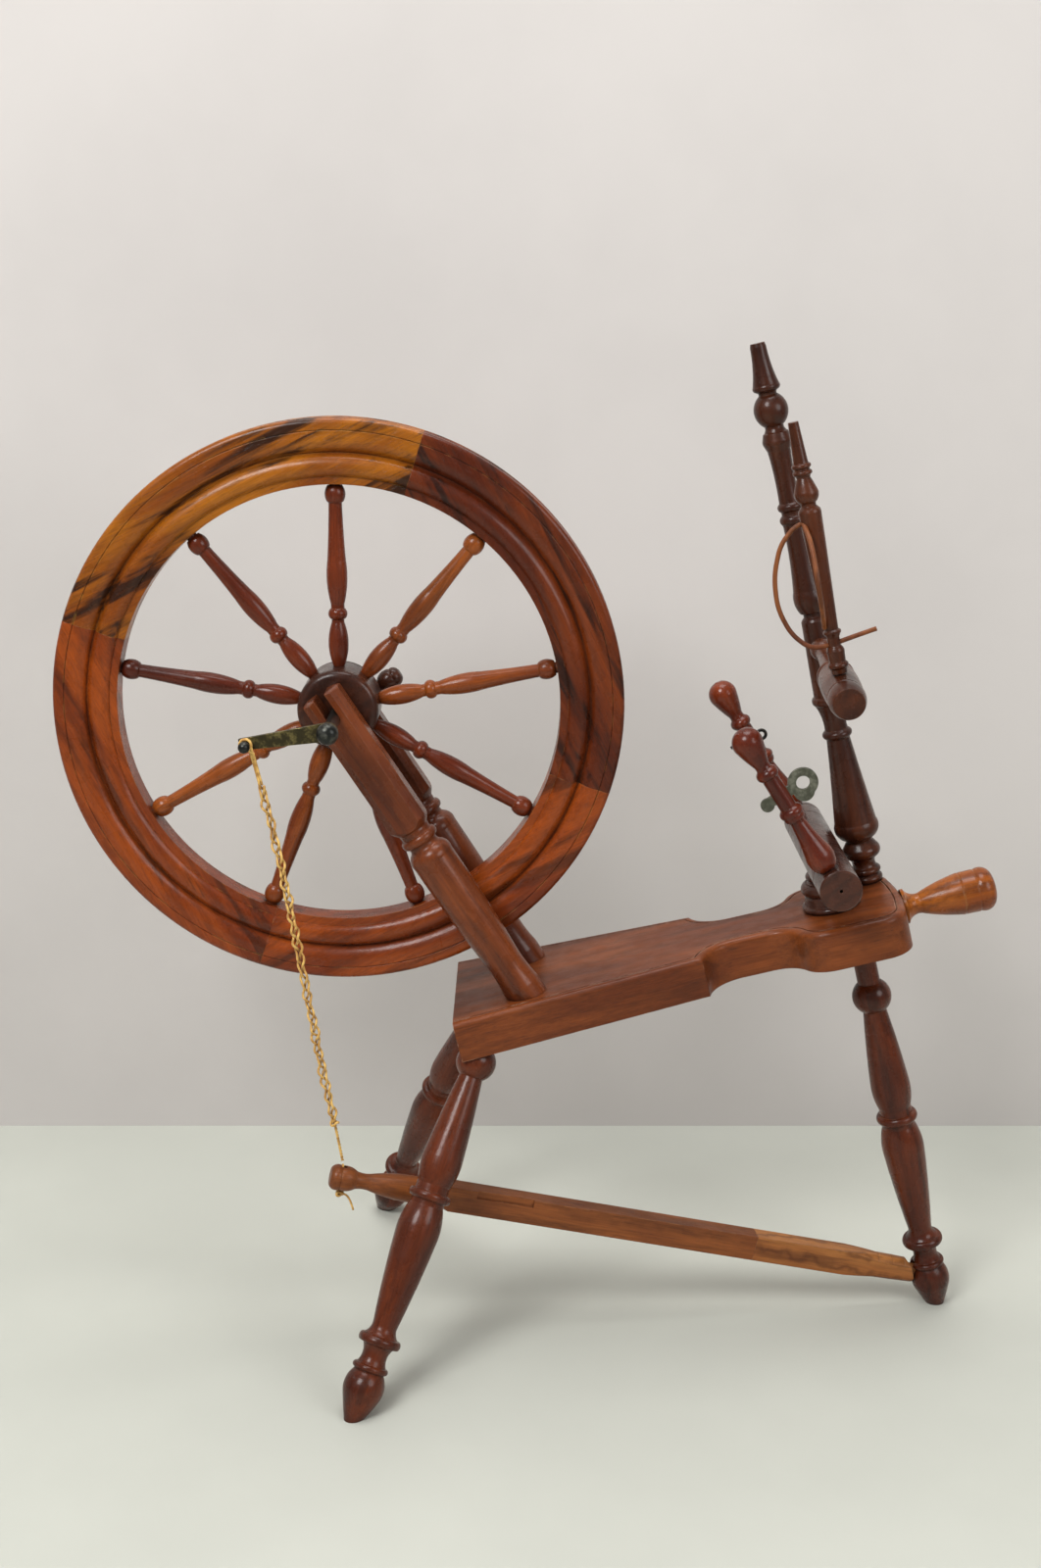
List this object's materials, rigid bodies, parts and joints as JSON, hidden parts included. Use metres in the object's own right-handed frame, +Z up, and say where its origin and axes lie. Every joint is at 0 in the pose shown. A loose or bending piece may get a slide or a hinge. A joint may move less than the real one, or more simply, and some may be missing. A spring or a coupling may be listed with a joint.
{
  "type": "spinning wheel",
  "caption": "Treadle flax spinning wheel with a grooved spoked drive wheel, crank, sloping turned-leg table, screw tension, turned maidens and a swivelling distaff post.",
  "frame": {"origin": "on the floor under the middle of the whole object's box", "axes": "+X from the drive wheel towards the tension screw handle, +Y from the crank side to the far side, +Z up"},
  "size_m": [0.8522, 0.4132, 0.9088],
  "materials": {
    "bench_wood": "worn reddish-brown varnish",
    "leg_wood": "glossy reddish-brown varnish",
    "upright_wood": "glossy reddish-brown varnish",
    "rim_dark_wood": "glossy dark red-brown varnish, black streaks",
    "rim_red_wood": "glossy red-brown varnish",
    "rim_golden_wood": "glossy golden-orange varnish, dark streaks",
    "spoke_wood": "glossy orange-red varnish",
    "orange_wood": "glossy orange-brown varnish",
    "dark_wood": "glossy dark brown varnish",
    "post_wood": "glossy dark reddish-brown varnish",
    "treadle_wood": "satin red-brown varnish",
    "tan_wood": "satin tan varnish",
    "honey_wood": "glossy honey varnish",
    "dark_iron": "oiled dark iron",
    "bronzed_iron": "browned iron with brassy wear",
    "bearing_plate": "grey-olive tarnish",
    "twine": "plaited natural twine"
  },
  "bodies": {
    "frame": {"bench": "bench_wood", "front_left_leg": "leg_wood", "rear_left_leg": "leg_wood", "right_leg": "leg_wood", "front_upright": "upright_wood", "rear_upright": "upright_wood", "screw_retainer": "dark_wood", "treadle_pin": "dark_wood"},
    "drive_wheel": {"felloe_1": "rim_dark_wood", "felloe_2": "rim_red_wood", "felloe_3": "rim_red_wood", "felloe_4": "rim_golden_wood", "spoke_1": "spoke_wood", "spoke_2": "spoke_wood", "spoke_3": "spoke_wood", "spoke_4": "spoke_wood", "spoke_5": "spoke_wood", "spoke_6": "spoke_wood", "spoke_7": "spoke_wood", "spoke_8": "spoke_wood", "spoke_9": "spoke_wood", "hub": "dark_wood", "axle": "dark_iron", "crank_arm": "bronzed_iron", "axle_nut": "dark_iron", "crank_pin": "dark_iron"},
    "footman": {"footman_cord": "twine", "footman_loop": "twine"},
    "treadle": {"treadle_bar": "treadle_wood", "treadle_end": "tan_wood", "treadle_knot": "twine"},
    "bearing_peg": {"bearing_peg": "orange_wood"},
    "tension_screw": {"tension_screw": "honey_wood"},
    "mother_of_all": {"mother_of_all_barrel": "dark_wood", "mother_of_all_pillar": "dark_wood"},
    "front_maiden": {"front_maiden": "orange_wood", "front_bearing": "bearing_plate"},
    "rear_maiden": {"rear_maiden": "orange_wood", "rear_bearing": "dark_iron"},
    "distaff_post": {"distaff_post": "post_wood"},
    "distaff_arm": {"distaff_arm": "post_wood"},
    "distaff": {"distaff_stick": "dark_wood", "loop_rib": "dark_wood", "bowed_rib": "tan_wood"}
  },
  "joints": [
    {"name": "wheel_spin", "type": "hinge", "parent": "frame", "child": "drive_wheel", "pos_m": [-0.17209, 0, 0.593], "axis": [0, 1, 0], "continuous": true},
    {"name": "footman_swing", "type": "hinge", "parent": "drive_wheel", "child": "footman", "pos_m": [-0.24134, -0.114, 0.58277], "axis": [0, 1, 0], "continuous": true, "deforming": ["footman_cord", "footman_loop"]},
    {"name": "treadle_rock", "type": "hinge", "parent": "frame", "child": "treadle", "pos_m": [0.38581, 0, 0.03], "axis": [-0.1349, 0.9909, 0], "range_deg": [-6, 7.5]},
    {"name": "bearing_peg_pull", "type": "slide", "parent": "frame", "child": "bearing_peg", "axis": [0.8387, 0, 0.5446], "range_m": [0, 0.045]},
    {"name": "tension_screw_turn", "type": "hinge", "parent": "frame", "child": "tension_screw", "pos_m": [0.33789, 0, 0.40242], "axis": [0.972, 0, 0.2351], "range_deg": [-362, 102]},
    {"name": "mother_of_all_slide", "type": "slide", "parent": "frame", "child": "mother_of_all", "axis": [0.972, 0, 0.2351], "range_m": [-0.007, 0.00195]},
    {"name": "front_maiden_turn", "type": "hinge", "parent": "mother_of_all", "child": "front_maiden", "pos_m": [0.26347, -0.1, 0.45489], "axis": [-0.5446, 0, 0.8387], "range_deg": [-90, 90]},
    {"name": "rear_maiden_turn", "type": "hinge", "parent": "mother_of_all", "child": "rear_maiden", "pos_m": [0.26347, 0.1, 0.45489], "axis": [-0.5446, 0, 0.8387], "range_deg": [-90, 90]},
    {"name": "distaff_post_turn", "type": "hinge", "parent": "frame", "child": "distaff_post", "pos_m": [0.31623, 0.046, 0.41415], "axis": [-0.2351, 0, 0.972], "range_deg": [-20, 90]},
    {"name": "distaff_arm_turn", "type": "hinge", "parent": "distaff_post", "child": "distaff_arm", "pos_m": [0.26158, 0.046, 0.64003], "axis": [-0.0331, -0.9979, -0.0549], "range_deg": [-30, 30]},
    {"name": "distaff_turn", "type": "hinge", "parent": "distaff_arm", "child": "distaff", "pos_m": [0.25589, -0.12565, 0.6306], "axis": [-0.2199, 0, 0.9755], "range_deg": [-180, 180]}
  ],
  "couplings": [
    {"joint": "footman_swing", "follows": "wheel_spin", "ratio": -1},
    {"joint": "tension_screw_turn", "follows": "mother_of_all_slide", "rad_per_m": 897.6}
  ]
}
